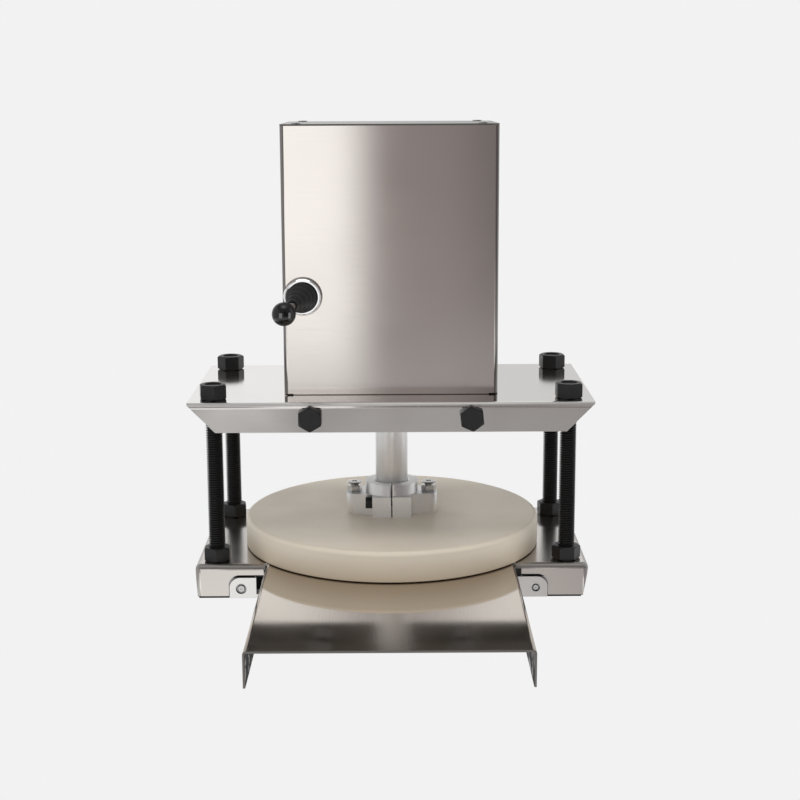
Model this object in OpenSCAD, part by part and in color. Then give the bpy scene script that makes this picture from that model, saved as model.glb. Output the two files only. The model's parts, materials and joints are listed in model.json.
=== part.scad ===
// Electric dough press: a flat disc is driven down onto a polished base by a screw-driven ram.
// Front is -Y, up is +Z, and Z = 0 is the surface that the press stands on.

/* [Base and tray] */
// Width of the base box
base_w = 284; // [270:1:300]
// Depth of the base box, front to back
base_d = 154.5; // [150:0.5:170]
// Height of the base's top face above the table
base_h = 25; // [20:0.5:30]
// Thickness of the folded stainless sheet of the base
base_t = 2; // [1.5:0.1:2.5]
// Width of the tray in front of the base
tray_w = 180; // [160:1:184]
// How far the tray reaches out in front of the base
tray_len = 173.5; // [120:0.5:220]
// Thickness of the tray sheet
tray_t = 1.5; // [1:0.1:2]

/* [Tie rods] */
// Distance between the rods, left to right
rod_span_x = 254; // [240:1:260]
// Distance between the rods, front to back
rod_span_y = 120; // [110:1:130]
// Nominal diameter of the threaded rods
rod_d = 12; // [10:1:14]
// Width across the flats of the rod nuts
rod_nut_af = 18; // [17:0.5:22]

/* [Upper beam] */
// Height of the beam's top face
beam_z = 144.5; // [138:0.5:152]
// Width of the beam at its top face
beam_w = 288; // [280:1:300]
// Depth of the beam, front to back
beam_d = 158; // [150:1:170]
// Height of the beam's folded front and rear flanges
beam_flange_h = 21; // [19:0.5:26]
// Thickness of the beam sheet
beam_t = 2.5; // [2:0.1:3]

/* [Housing] */
// Width of the housing box
house_w = 154; // [150:0.5:165]
// Depth of the housing box
house_d = 104.5; // [104:0.5:112]
// Height of the housing box above the beam
house_h = 192.5; // [190:0.5:205]
// Thickness of the housing sheet
house_t = 1.2; // [1:0.1:1.5]

/* [Ram and press disc] */
// How far the ram axis lies in front of the rods' centre
ram_forward = 9; // [4:0.5:12]
// Diameter of the ram shaft
ram_d = 24; // [22:0.5:26]
// Diameter of the press disc
disc_d = 220; // [200:1:222]
// Thickness of the press disc
disc_t = 22; // [18:0.5:24]
// Gap between the lowered disc and the base
disc_gap = 0.5; // [0.2:0.1:2]

/* [Joystick] */
// Distance of the joystick from the housing's centre line, to the left
joy_left = 62.4; // [55:0.1:63]
// Height of the joystick above the beam
joy_up = 71.7; // [60:0.1:100]
// Lean of the joystick lever at rest
joy_lean = 13.7; // [10:0.1:18]
// Direction of that lean in the panel, below horizontal
joy_lean_dir = 31.0; // [20:0.5:50]
// Diameter of the ball knob
knob_d = 16.6; // [14:0.2:18]

/* [Hidden] */

$fn = 48;
eps = 0.01;
// Everything is laid out about the rods' centre, then moved back so that the whole press is centred on Y = 0.
base_back = 80;
base_front = base_back - base_d;
front_y = base_front - tray_len;
ram_y = -ram_forward;
rear_y = max(base_back, ram_y + disc_d / 2);
centre_shift = -(front_y + rear_y) / 2;

// Sheet metal bends, outside radius
base_bend = 4;
beam_bend = 4;
tray_bend = 2.5;
house_bend = 2.8;
lip_w = 14;
rod_hole_d = rod_d + 1;

// The base's walls end just above the table, and its two ends lean in towards the bottom
wall_low = 1.2;
end_lean = [1.5, 4.2];

// Front ears of the tray, left and right, and the screws in them
ear_h = 15.3;
ear_reach = [26.5, 23.5];
ear_slot_w = 7;
tray_x = -1;
ear_gap_side = 0.4;
ear_gap_top = 2;
ear_hole_d = [7.6, 6];
ear_screw_in = 8.5;
ear_screw_z = 7;
ear_screw_d = 3.2;
ear_head_d = [5.6, 4.6];
flange_low = 1;
ear_slot_low = 3;
relief_w = [1.5, 4.5];
tray_gap = 0.3;
relief_top = base_h - 3.5;

// Nuts on the rods. Their turns run front left, front right, rear left, rear right
top_nut_turns = [41, 33, 12, 41];
base_nut_turns = [31, -1, 38, 38];
hidden_nut_turns = [28, 31, 29, 33];
top_nut_h = 10.8;
base_nut_h = 10;
lock_nut_h = 6;
bottom_nut_h = 7;
backing_t = 8;
backing_rim = 11;
backing_bottom = base_h - base_t - backing_t;
rod_bottom = 3;
rod_top = beam_z + top_nut_h - 1.2;

// Beam
beam_under = beam_z - beam_t;
bar_w = 16;
bar_x = 57;
bolt_d = 10;
bolt_af = 16;
bolt_head_h = 6.4;
bolt_len = 22;

// Housing
house_top = beam_z + house_h;
house_rear = 56;
house_front = house_rear - house_d;
house_inner_w = house_w - 2 * house_t;
slit_w = 6.5;
slit_h = 1;
foot_w = 12;
rear_flange_w = 10;
cover_t = house_t;
vent_w = 36;
vent_h = 3;
vent_pitch = 8;
vent_rows = 6;
vent_up = 105;
small_head_d = 7;
small_head_h = 2.2;
top_head_h = 0.8;
small_screw_d = 4;

// Ram drive, bottom to top
disc_top = base_h + disc_gap + disc_t;
clamp_flange_h = 15.5;
clamp_h = 24;
clamp_span = 56;
clamp_w = 68;
clamp_block_w = 29;
clamp_bolt_z = 10.4;
clamp_bolt_y = -17.6;
clamp_bolt_d = 5;
disc_screw_d = 6;
ram_len = 180;
ram_bore = 20;
ram_top = disc_top + ram_len;
ram_floor = 18;
bush_flange_d = 60;
bush_flange_h = 8;
bush_body_d = 38;
bush_bottom = beam_z - 17.5;
bush_top = beam_z + 33;
run_gap = 0.05;
wiper_h = 4;
wiper_d = ram_d + 8;
screw_d = 16;
screw_low = beam_z + 20.5;
shoulder_z = beam_z + 142.5;
shoulder_h = 3;
plate_z = beam_z + 148.5;
plate_t = 8;
shank_d = 12;
bearing_d = 28;
nut_flange_d = 36;
nut_flange_h = 8;
guide_x = -27;
guide_d = 8;
column_d = 12;
column_stud_d = 8;
column_stud_h = 9;
columns = [[-34, -38.5], [34, -38.5], [-56, 44], [56, 44]];

// Gears: the screw gear and the motor pinion
gear_module = 1.5;
gear_teeth = 45;
pinion_teeth = 15;
gear_face = 8;
gear_z = plate_z + plate_t + 2;
gear_distance = gear_module * (gear_teeth + pinion_teeth) / 2;
gear_backlash = 0.3;
motor_d = 48;
motor_len = 92;

// Joystick: its pivot lies just behind the panel
joy = [-joy_left, house_front, beam_z + joy_up];
joy_pivot_depth = 6;
joy_pivot = joy + [0, joy_pivot_depth, 0];
joy_pin_d = 3;
lever_d = 5;
lever_len = 47;
lever_tail = 8;
knob_at = 52;
boot_tip = 30;
bezel_d = 28;
bezel_rim_d = 25.8;
bezel_in = 22;
bezel_h = 5.5;

// Rear fittings
inlet = [-34, beam_z + 30.5];
inlet_screw_x = 20;
inlet_flange_t = 3.5;
rocker_at = [2, beam_z + 30.5];
rocker_tilt = 8;
board_y = house_rear - cover_t - 12;

// ---------- shared shapes ----------

module in_place() { translate([0, centre_shift, 0]) children(); }

module at_rods(z) {
    for (x = [-1, 1], y = [-1, 1]) translate([x * rod_span_x / 2, y * rod_span_y / 2, z]) children();
}

module ring(d_out, d_in, h) {
    difference() {
        cylinder(d = d_out, h = h);
        translate([0, 0, -eps]) cylinder(d = d_in, h = h + 2 * eps);
    }
}

// A hexagonal prism with its across-flats size along X when turned by 30 degrees
module hex(af, h, turn = 30) { rotate(turn) cylinder(d = af / cos(30), h = h, $fn = 6); }

// A hex nut whose corners are chamfered at both ends
module hex_nut(af, bore, h, turn = 30) {
    difference() {
        intersection() {
            hex(af, h, turn);
            cylinder(d1 = af * 0.95, d2 = af * 0.95 + 4 * h, h = h);
            cylinder(d1 = af * 0.95 + 4 * h, d2 = af * 0.95, h = h);
        }
        translate([0, 0, -eps]) cylinder(d = bore, h = h + 2 * eps);
    }
}

// A screw along -Z with its head above Z = 0
module cap_screw(head_d, head_h, d, len) {
    cylinder(d = head_d, h = head_h);
    translate([0, 0, -len]) cylinder(d = d, h = len + eps);
}

// A box that stands on Z = 0, with its four sides and its top edges rounded
module crowned_box(w, d, h, r) {
    translate([-w / 2 + r, -d / 2 + r, 0]) cube([w - 2 * r, d - 2 * r, h]);
    translate([-w / 2 + r, -d / 2, 0]) cube([w - 2 * r, d, h - r]);
    translate([-w / 2, -d / 2 + r, 0]) cube([w, d - 2 * r, h - r]);
    for (x = [-1, 1], y = [-1, 1]) translate([x * (w / 2 - r), y * (d / 2 - r), 0]) {
        cylinder(r = r, h = h - r);
        translate([0, 0, h - r]) sphere(r = r);
    }
    for (y = [-1, 1]) translate([-w / 2 + r, y * (d / 2 - r), h - r])
        rotate([0, 90, 0]) cylinder(r = r, h = w - 2 * r);
    for (x = [-1, 1]) translate([x * (w / 2 - r), -d / 2 + r, h - r])
        rotate([-90, 0, 0]) cylinder(r = r, h = d - 2 * r);
}

// A rectangle, centred on X, hanging from Y = 0 down to -h, with its two top corners rounded
module folded_outline(w, h, r) {
    difference() {
        translate([-w / 2, -h]) square([w, h]);
        for (s = [-1, 1]) translate([s * w / 2, 0]) difference() {
            square(2 * r, center = true);
            translate([-s * r, -r]) circle(r);
        }
    }
}

// A sheet folded down on both sides, as seen along its bends
module folded_sheet(w, h, r, t) {
    difference() {
        folded_outline(w, h, r);
        translate([0, -t]) folded_outline(w - 2 * t, h, max(r - t, 0.3));
    }
}

// Involute gear outline with a tooth on +X. A gear with an odd count has a gap on -X.
function involute(rb, a) = [rb * (cos(a) + a * PI / 180 * sin(a)), rb * (sin(a) - a * PI / 180 * cos(a))];
function roll_at(rb, r) = r <= rb ? 0 : 180 / PI * sqrt(pow(r / rb, 2) - 1);
function turned(p, a) = [p[0] * cos(a) - p[1] * sin(a), p[0] * sin(a) + p[1] * cos(a)];
module gear_outline(teeth) {
    pressure = 20;
    rp = gear_module * teeth / 2;
    rb = rp * cos(pressure);
    ra = rp + 0.85 * gear_module;
    rr = rp - 1.15 * gear_module;
    pitch_roll = roll_at(rb, rp);
    lead_in = atan2(involute(rb, pitch_roll)[1], involute(rb, pitch_roll)[0]);
    half_tooth = 90 / teeth - gear_backlash / 4 / rp * 180 / PI;
    r0 = max(rb, rr);
    flank = [for (k = [0 : 3]) involute(rb, roll_at(rb, r0 + (ra - r0) * k / 3))];
    polygon([for (n = [0 : teeth - 1]) let (middle = n * 360 / teeth) each concat(
        [turned([rr, 0], middle - half_tooth - lead_in)],
        [for (k = [0 : 3]) turned(flank[k], middle - half_tooth - lead_in)],
        [for (k = [3 : -1 : 0]) turned([flank[k][0], -flank[k][1]], middle + half_tooth + lead_in)],
        [turned([rr, 0], middle + half_tooth + lead_in)]
    )]);
}

// ---------- base and tray ----------

module base_shell() {
    inside_w = base_w - 2 * base_t;
    inside_d = base_d - 2 * base_t;
    color("gainsboro") in_place() difference() {
        union() {
            difference() {
                between_ends(0) translate([0, base_back - base_d / 2, wall_low])
                    crowned_box(base_w, base_d, base_h - wall_low, base_bend);
                between_ends(base_t) translate([0, base_back - base_d / 2, wall_low - 1])
                    crowned_box(inside_w, inside_d, base_h - base_t - wall_low + 1, base_bend - base_t);
            }
            base_lips();
        }
        // The front is open behind the tray, with a square relief beside it
        front_opening([tray_gap, tray_gap], base_bend, base_h + 1);
        front_opening(relief_w, base_bend, relief_top);
        front_opening(relief_w, lip_w + 2, base_t + eps);
        // Room for the ears, with a round outer end
        for (k = [0, 1]) translate([tray_x, base_front + base_t + eps, 0])
            rotate([90, 0, 0]) linear_extrude(base_t + 1)
                ear_outline(k, ear_h + ear_gap_top, ear_reach[k] + ear_gap_side, -1);
        at_rods(base_h - base_t - 1) cylinder(d = rod_hole_d, h = base_t + 2);
    }
}

// Keeps what lies between the two leaning ends of the base, moved in by an inset
module between_ends(inset) {
    bend_z = base_h - base_bend;
    side = base_w / 2 - inset;
    intersection() {
        children();
        rotate([90, 0, 0]) linear_extrude(2 * base_d, center = true) polygon([
            [end_lean[0] - side, -1], [side - end_lean[1], -1], [side, bend_z], [side, base_h + 1],
            [-side, base_h + 1], [-side, bend_z]
        ]);
    }
}

// Wider than the tray by sides, which run left and right
module front_opening(sides, depth, top) {
    translate([tray_x - tray_w / 2 - sides[0], base_front - 1, -1])
        cube([tray_w + sides[0] + sides[1], depth + 1, top + 1]);
}

// The edges of the walls, turned in on the table
module base_lips() {
    side = base_t / 2;
    between_ends(side) difference() {
        translate([-base_w / 2 + side, base_front + side, 0])
            cube([base_w - base_t, base_d - base_t, base_t]);
        translate([-base_w / 2 + lip_w, base_front + lip_w, -1])
            cube([base_w - 2 * lip_w, base_d - 2 * lip_w, base_t + 2]);
    }
}

// Side k is 0 on the left and 1 on the right. The outer end is round at its top
module ear_outline(k, h, reach, low) {
    s = 2 * k - 1;
    r = ear_h / 2;
    start = tray_w / 2 - tray_t;
    end = tray_w / 2 + reach;
    intersection() {
        union() {
            translate([s * (end - r), h - r]) circle(r);
            translate([s > 0 ? start : r - end, low]) square([end - r - start, h - low]);
            translate([s > 0 ? end - r - 1 : -end, low]) square([r + 1, h - r - low]);
        }
        translate([-base_w / 2, low]) square([base_w, h - low]);
    }
}

module base_backing_plate() {
    color("slategray") in_place() difference() {
        translate([-rod_span_x / 2 - backing_rim, -rod_span_y / 2 - backing_rim, backing_bottom])
            cube([rod_span_x + 2 * backing_rim, rod_span_y + 2 * backing_rim, backing_t]);
        at_rods(backing_bottom - 1) cylinder(d = rod_hole_d, h = backing_t + 2);
    }
}

module dough_tray() {
    sheet_back = base_front + base_bend - 0.2;
    flange_back = base_front + tray_t;
    color("gainsboro") in_place() translate([tray_x, 0, 0]) {
        difference() {
            translate([0, flange_back, base_h]) rotate([90, 0, 0]) linear_extrude(flange_back - front_y)
                folded_sheet(tray_w, base_h - flange_low, tray_bend, tray_t);
            // The side flanges stop short of the base's rim
            for (s = [-1, 1]) translate([s * tray_w / 2 - 3, base_front - 2.5, ear_h])
                cube([6, 2.5 + tray_t + 1, base_h - ear_h - tray_bend]);
        }
        translate([-tray_w / 2 + tray_bend, flange_back - 1, base_h - tray_t])
            cube([tray_w - 2 * tray_bend, sheet_back - flange_back + 1, tray_t]);
        for (k = [0, 1]) translate([0, base_front + tray_t, 0])
            rotate([90, 0, 0]) linear_extrude(tray_t) difference() {
                ear_outline(k, ear_h, ear_reach[k], 0);
                translate([ear_screw_x(k) - tray_x, ear_screw_z]) circle(d = ear_hole_d[k]);
                // A slot beside the left flange, which leaves the ear held at the bottom
                if (k == 0) translate([-tray_w / 2 - ear_slot_w, ear_slot_low]) square([ear_slot_w, ear_h]);
            }
    }
}

function ear_screw_x(k) = tray_x + (2 * k - 1) * (tray_w / 2 + ear_reach[k] - ear_screw_in);

module at_ear_screws(k) {
    translate([ear_screw_x(k), base_front, ear_screw_z]) rotate([90, 0, 0]) children();
}

module tray_brackets() {
    reach = 5;
    t = 2;
    color("darkgray") in_place() for (k = [0, 1]) difference() {
        union() {
            translate([ear_screw_x(k) - 10, base_front + base_t + 2 * eps, base_t + 0.5])
                cube([20, t, backing_bottom - base_t - 0.5]);
            translate([ear_screw_x(k) - 10, base_front + base_t + 2 * eps, backing_bottom - t])
                cube([20, reach, t]);
            at_ear_screws(k) translate([0, 0, -base_t - 3 * eps])
                cylinder(d = ear_hole_d[k] + 2, h = base_t - tray_t + 2 * eps);
        }
        at_ear_screws(k) translate([0, 0, -base_t - t - 1]) cylinder(d = ear_screw_d, h = 2 * t);
    }
}

// Screws whose heads lie inside the ears' holes, with a nut behind the bracket
module tray_rivets() {
    head_low = -tray_t + eps;
    color("silver") in_place() for (k = [0, 1]) at_ear_screws(k) difference() {
        union() {
            translate([0, 0, head_low]) cylinder(d1 = ear_head_d[k], d2 = ear_head_d[k] - 1, h = 1.1);
            translate([0, 0, -base_t - 3.2]) cylinder(d = ear_screw_d, h = base_t + 2.2);
            translate([0, 0, -base_t - 3.2]) cylinder(d = 4.6, h = 1.1);
        }
        translate([0, 0, -0.9]) cylinder(d = 1.6, h = 3);
    }
}

// ---------- tie rods and their nuts ----------

module tie_rod(x, y) {
    color("dimgray") in_place() translate([x * rod_span_x / 2, y * rod_span_y / 2, rod_bottom]) {
        cylinder(d = rod_d, h = rod_top - rod_bottom - 1);
        translate([0, 0, rod_top - rod_bottom - 1]) cylinder(d1 = rod_d, d2 = rod_d - 2, h = 1);
    }
}
module tie_rod_front_left() { tie_rod(-1, -1); }
module tie_rod_front_right() { tie_rod(1, -1); }
module tie_rod_rear_left() { tie_rod(-1, 1); }
module tie_rod_rear_right() { tie_rod(1, 1); }

module rod_nuts(z, h, turns) {
    color("dimgray") in_place() for (k = [0 : 3])
        translate([(k % 2 - 0.5) * rod_span_x, (floor(k / 2) - 0.5) * rod_span_y, z])
            hex_nut(rod_nut_af, rod_d, h, turns[k]);
}
module base_bottom_nuts() { rod_nuts(backing_bottom - bottom_nut_h, bottom_nut_h, hidden_nut_turns); }
module base_top_nuts() { rod_nuts(base_h, base_nut_h, base_nut_turns); }
module beam_lock_nuts() { rod_nuts(beam_under - lock_nut_h, lock_nut_h, hidden_nut_turns); }
module beam_top_nuts() { rod_nuts(beam_z, top_nut_h, top_nut_turns); }

// ---------- upper beam ----------

module upper_beam() {
    color("gainsboro") in_place() difference() {
        translate([-beam_w / 2, 0, beam_z]) rotate([90, 0, 90]) linear_extrude(beam_w)
            folded_sheet(beam_d, beam_flange_h, beam_bend, beam_t);
        for (s = [-1, 1], y = [-1, 1]) mitre_cut(s, y);
        at_rods(beam_under - 1) cylinder(d = rod_hole_d, h = beam_t + 2);
        translate([0, ram_y, beam_under - 1]) cylinder(d = bush_body_d + 0.4, h = beam_t + 2);
        for (x = [-1, 1], y = [-1, 1]) translate([x * bar_x, y * beam_d / 2, beam_under - bar_w / 2])
            rotate([90, 0, 0]) cylinder(d = bolt_d + 0.5, h = 3 * beam_t, center = true);
        for (p = columns) translate([p[0], p[1], beam_under - 1])
            cylinder(d = column_stud_d, h = beam_t + 2);
        housing_screw_spots() translate([0, 0, -8]) cylinder(d = small_screw_d, h = 10);
        bush_screw_spots() translate([0, 0, -bush_flange_h - 8]) cylinder(d = 5, h = 10);
    }
}

// Takes the lower outer corner off a flange at 45 degrees
module mitre_cut(s, y) {
    reach = beam_flange_h + 1;
    translate([s * (beam_w / 2 + 0.5), y * beam_d / 2, beam_z - 0.5]) rotate([90, 0, 0])
        linear_extrude(2 * (beam_t + 1), center = true)
            polygon([[0, 0], [0, -reach], [-s * reach, -reach]]);
}

module beam_cross_bars() {
    inner = beam_d - 2 * beam_t;
    end = inner / 2;
    edge = 1.2;
    color("slategray") in_place() for (s = [-1, 1]) difference() {
        translate([s * bar_x - bar_w / 2, 0, beam_under]) rotate([90, 0, 90]) linear_extrude(bar_w)
            polygon([
                [-end, -bar_w], [end, -bar_w], [end, -edge], [end - edge, 0], [edge - end, 0], [-end, -edge]
            ]);
        for (y = [-1, 1]) translate([s * bar_x, y * inner / 2, beam_under - bar_w / 2]) rotate([90, 0, 0])
            cylinder(d = bolt_d, h = 2 * bolt_len, center = true);
        for (p = columns) translate([p[0], p[1], beam_under - bar_w - 1])
            cylinder(d = column_stud_d + 4, h = bar_w + 2);
    }
}

module flange_bolts() {
    color("dimgray") in_place() for (x = [-1, 1], y = [-1, 1])
        translate([x * bar_x, y * beam_d / 2, beam_under - bar_w / 2]) rotate([-y * 90, 0, 0]) {
            intersection() {
                hex(bolt_af, bolt_head_h, x > 0 ? 36 : 30);
                cylinder(d1 = bolt_af + 4 * bolt_head_h, d2 = bolt_af * 0.93, h = bolt_head_h);
            }
            translate([0, 0, -bolt_len]) cylinder(d = bolt_d, h = bolt_len + eps);
        }
}

// ---------- housing ----------

module housing_plan(inset, r) {
    translate([0, house_front + inset]) difference() {
        translate([-house_w / 2 + inset, 0]) square([house_w - 2 * inset, house_d - inset]);
        for (s = [-1, 1]) translate([s * (house_w / 2 - inset), 0]) difference() {
            square(2 * r, center = true);
            translate([-s * r, r]) circle(r);
        }
    }
}

// Left end of a strip of width w that lies against the inside of a side wall
function side_start(s, w) = s > 0 ? house_w / 2 - w : -house_w / 2 + house_t / 2;

module housing_shell() {
    wall_h = house_h - cover_t;
    color("silver") in_place() difference() {
        union() {
            translate([0, 0, beam_z]) linear_extrude(wall_h) difference() {
                housing_plan(0, house_bend);
                translate([0, eps]) housing_plan(house_t, house_bend - house_t);
            }
            // Inward feet along the sides, and inward flanges at the rear for the cover
            for (s = [-1, 1]) {
                translate([side_start(s, foot_w), house_front + 6, beam_z])
                    cube([foot_w - house_t / 2, house_d - 12, house_t]);
                translate([side_start(s, rear_flange_w), house_rear - cover_t - house_t, beam_z + 4])
                    cube([rear_flange_w - house_t / 2, house_t, wall_h - 8]);
            }
        }
        // The rear edge leaves room for the cover
        translate([-house_w / 2 - 1, house_rear - cover_t, beam_z - 1])
            cube([house_w + 2, cover_t + 1, house_h + 2]);
        for (s = [-1, 1]) translate([s * (house_w - slit_w) / 2 - slit_w / 2, house_front - 1, beam_z - 1])
            cube([slit_w, 1 + house_bend, 1 + slit_h]);
        translate(joy) rotate([90, 0, 0]) cylinder(d = 22, h = 10, center = true);
        housing_screw_spots() translate([0, 0, -8]) cylinder(d = small_screw_d + 0.4, h = 10);
        rear_screw_spots() translate([0, 0, -6]) cylinder(d = 3, h = 8);
    }
}

module housing_screw_spots() {
    for (x = [-1, 1], y = [-30, 30]) translate([x * (house_w / 2 - 7), y, beam_z + house_t]) children();
}
module housing_screws() {
    color("silver") in_place() housing_screw_spots()
        cap_screw(small_head_d, small_head_h, small_screw_d, 6);
}

module rear_screw_spots() {
    for (x = [-1, 1], z = [16, house_h / 2, house_h - 16])
        translate([x * (house_w / 2 - 5.5), house_rear, beam_z + z]) rotate([-90, 0, 0]) children();
}

module rear_cover() {
    color("silver") in_place() difference() {
        translate([-house_w / 2, house_rear - cover_t, beam_z + 0.2])
            cube([house_w, cover_t, house_h - cover_t - 0.2]);
        for (k = [0 : vent_rows - 1], s = [-1, 1])
            translate([(s * 0.75 - 0.5) * vent_w, house_rear - 5, beam_z + vent_up + k * vent_pitch])
                cube([vent_w, 10, vent_h]);
        rear_screw_spots() translate([0, 0, -5]) cylinder(d = 3.2, h = 10);
        translate([inlet[0] - 14, house_rear - 5, inlet[1] - 12.5]) cube([28, 10, 25]);
        inlet_screw_spots() translate([0, 0, -8]) cylinder(d = 3.2, h = 10);
        translate([rocker_at[0] - 6.5, house_rear - 5, rocker_at[1] - 11]) cube([13, 10, 22]);
    }
}
module rear_cover_screws() {
    color("silver") in_place() rear_screw_spots() cap_screw(5.6, 1.8, 3, 5);
}

module top_spots() {
    for (x = [-1, 1], y = [house_front + 12, house_rear - 12])
        translate([x * (house_w / 2 - 11), y, house_top]) children();
}
module top_cover() {
    skirt_w = house_inner_w - 0.6;
    skirt_d = house_d - 2 * house_t - 2.6;
    color("silver") in_place() difference() {
        union() {
            translate([0, 0, house_top - cover_t]) linear_extrude(cover_t) housing_plan(0, house_bend);
            translate([-skirt_w / 2, house_front + house_t + 0.7, house_top - cover_t - 10]) difference() {
                cube([skirt_w, skirt_d, 10 + eps]);
                translate([house_t, house_t, -1]) cube([skirt_w - 2 * house_t, skirt_d - 2 * house_t, 12]);
            }
        }
        top_spots() translate([0, 0, -3]) cylinder(d = small_screw_d, h = 5);
    }
}
module top_cover_screws() {
    color("silver") in_place() top_spots() cap_screw(small_head_d, top_head_h, small_screw_d, 5);
}

// ---------- drive inside the housing ----------

module on_ram_axis() { in_place() translate([0, ram_y, 0]) children(); }

module bush_screw_spots() {
    for (a = [45 : 90 : 315]) translate([0, ram_y, beam_z + bush_flange_h])
        rotate(a) translate([24, 0, 0]) children();
}
module guide_bush() {
    color("peru") difference() {
        on_ram_axis() {
            translate([0, 0, bush_bottom]) cylinder(d = bush_body_d, h = bush_top - bush_bottom);
            translate([0, 0, beam_z]) cylinder(d = bush_flange_d, h = bush_flange_h);
        }
        on_ram_axis() translate([0, 0, bush_bottom - 1])
            cylinder(d = ram_d + 2 * run_gap, h = bush_top - bush_bottom + 2);
        on_ram_axis() translate([0, 0, bush_bottom - eps]) cylinder(d = wiper_d, h = wiper_h);
        in_place() bush_screw_spots() translate([0, 0, -bush_flange_h - 1])
            cylinder(d = 5.2, h = bush_flange_h + 2);
        on_ram_axis() translate([guide_x, 0, beam_z + 2]) cylinder(d = guide_d, h = bush_flange_h);
    }
}
module guide_bush_screws() {
    color("dimgray") in_place() bush_screw_spots() cap_screw(8.5, 5, 5, bush_flange_h + beam_t + 4);
}
module ram_wiper() {
    color("black") on_ram_axis() translate([0, 0, bush_bottom])
        ring(wiper_d, ram_d + 2 * run_gap, wiper_h - 2 * eps);
}
module anti_rotation_rod() {
    color("silver") on_ram_axis() translate([guide_x, 0, beam_z + 2])
        cylinder(d = guide_d, h = plate_z - beam_z - 2);
}

module plate_columns() {
    color("darkgray") in_place() for (p = columns) translate([p[0], p[1], beam_z]) {
        cylinder(d = column_d, h = plate_z - beam_z);
        translate([0, 0, plate_z - beam_z - eps]) cylinder(d = column_stud_d, h = plate_t + column_stud_h);
        translate([0, 0, -beam_t - 3]) cylinder(d = column_stud_d, h = beam_t + 3 + eps);
    }
}
module column_nuts() {
    color("silver") in_place() for (p = columns) translate([p[0], p[1], plate_z + plate_t])
        hex_nut(13, column_stud_d, 6.5, 30);
}
module motor_plate() {
    color("darkgray") in_place() difference() {
        translate([-71, house_front + 2.5, plate_z]) cube([142, house_d - 6.5, plate_t]);
        for (p = columns) translate([p[0], p[1], plate_z - 1]) cylinder(d = column_stud_d, h = plate_t + 2);
        translate([0, ram_y, plate_z - 1]) cylinder(d = bearing_d, h = plate_t + 2);
        translate([gear_distance, ram_y, plate_z - 1]) cylinder(d = 18, h = plate_t + 2);
        motor_screw_spots() translate([0, 0, -plate_t - 1]) cylinder(d = 4, h = plate_t + 2);
    }
}
module screw_bearing() {
    color("silver") on_ram_axis() translate([0, 0, plate_z])
        ring(bearing_d, shank_d + 2 * run_gap, plate_t);
}
module thrust_washer() {
    bottom = shoulder_z + shoulder_h + 0.1;
    color("peru") on_ram_axis() translate([0, 0, bottom]) ring(30, shank_d + 2 * run_gap, plate_z - bottom);
}

module motor_screw_spots() {
    for (a = [90 : 90 : 270]) translate([gear_distance, ram_y, plate_z + plate_t])
        rotate(a) translate([18, 0, 0]) children();
}
module gear_motor() {
    color("black") in_place() difference() {
        translate([gear_distance, ram_y, plate_z - motor_len]) {
            cylinder(d = motor_d, h = motor_len);
            translate([0, 0, -4]) cylinder(d = 16, h = 5);
        }
        translate([gear_distance, ram_y, plate_z - 14]) cylinder(d = 8 + 2 * run_gap, h = 15);
        motor_screw_spots() translate([0, 0, -plate_t - 8]) cylinder(d = 4, h = 9);
    }
}
module motor_screws() {
    color("silver") in_place() motor_screw_spots() cap_screw(7, 1.6, 4, plate_t + 7);
}
module motor_pinion() {
    color("silver") in_place() translate([gear_distance, ram_y, 0]) {
        translate([0, 0, gear_z]) linear_extrude(gear_face) gear_outline(pinion_teeth);
        translate([0, 0, plate_z - 13.5]) cylinder(d = 8, h = gear_z - plate_z + 13.6);
    }
}

module lead_screw() {
    color("silver") on_ram_axis() {
        translate([0, 0, screw_low]) cylinder(d = screw_d - 2 * run_gap, h = shoulder_z - screw_low + eps);
        translate([0, 0, shoulder_z]) cylinder(d = 26, h = shoulder_h);
        translate([0, 0, shoulder_z + shoulder_h - eps])
            cylinder(d = shank_d, h = gear_z + gear_face + 8 - shoulder_z - shoulder_h);
    }
}
module screw_gear() {
    color("silver") on_ram_axis() difference() {
        union() {
            translate([0, 0, gear_z]) linear_extrude(gear_face) gear_outline(gear_teeth);
            translate([0, 0, plate_z + plate_t + 0.1]) cylinder(d = 20, h = gear_z - plate_z - plate_t);
        }
        translate([0, 0, plate_z]) cylinder(d = shank_d, h = 40);
        for (a = [30 : 60 : 330]) rotate(a) translate([22, 0, gear_z - 1])
            cylinder(d = 11, h = gear_face + 2);
    }
}
module gear_nut() {
    color("silver") on_ram_axis() translate([0, 0, gear_z + gear_face]) hex_nut(19, shank_d, 6, 30);
}

module sensor_bracket() {
    color("darkgray") in_place() {
        translate([-13, 24, beam_z]) cube([26, 2, plate_z - beam_z - 0.2]);
        translate([-13, 26 - eps, beam_z]) cube([26, 16, 2]);
    }
}
module limit_sensors() {
    color("black") in_place() for (z = [ram_top + 1, ram_top + 50])
        translate([-9, 11, z]) cube([18, 13, 7]);
}

module control_board() {
    color("green") in_place() {
        translate([-46, board_y, beam_z + 86]) cube([80, 1.6, 60]);
        for (x = [-38, -16, 6]) translate([x, board_y - 15, beam_z + 92]) cube([16, 15 + eps, 19]);
        translate([-38, board_y - 11, beam_z + 131]) cube([62, 11 + eps, 10]);
    }
}
module board_spacers() {
    back = board_y + 1.6;
    color("white") in_place() for (x = [-42, 30], z = [90, 142]) translate([x, back, beam_z + z])
        rotate([-90, 0, 0]) cylinder(d = 6, h = house_rear - cover_t - back);
}
module power_supply() {
    color("silver") in_place() translate([11, 28, beam_z + house_t + 1]) cube([37, 26, 78]);
}

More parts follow.
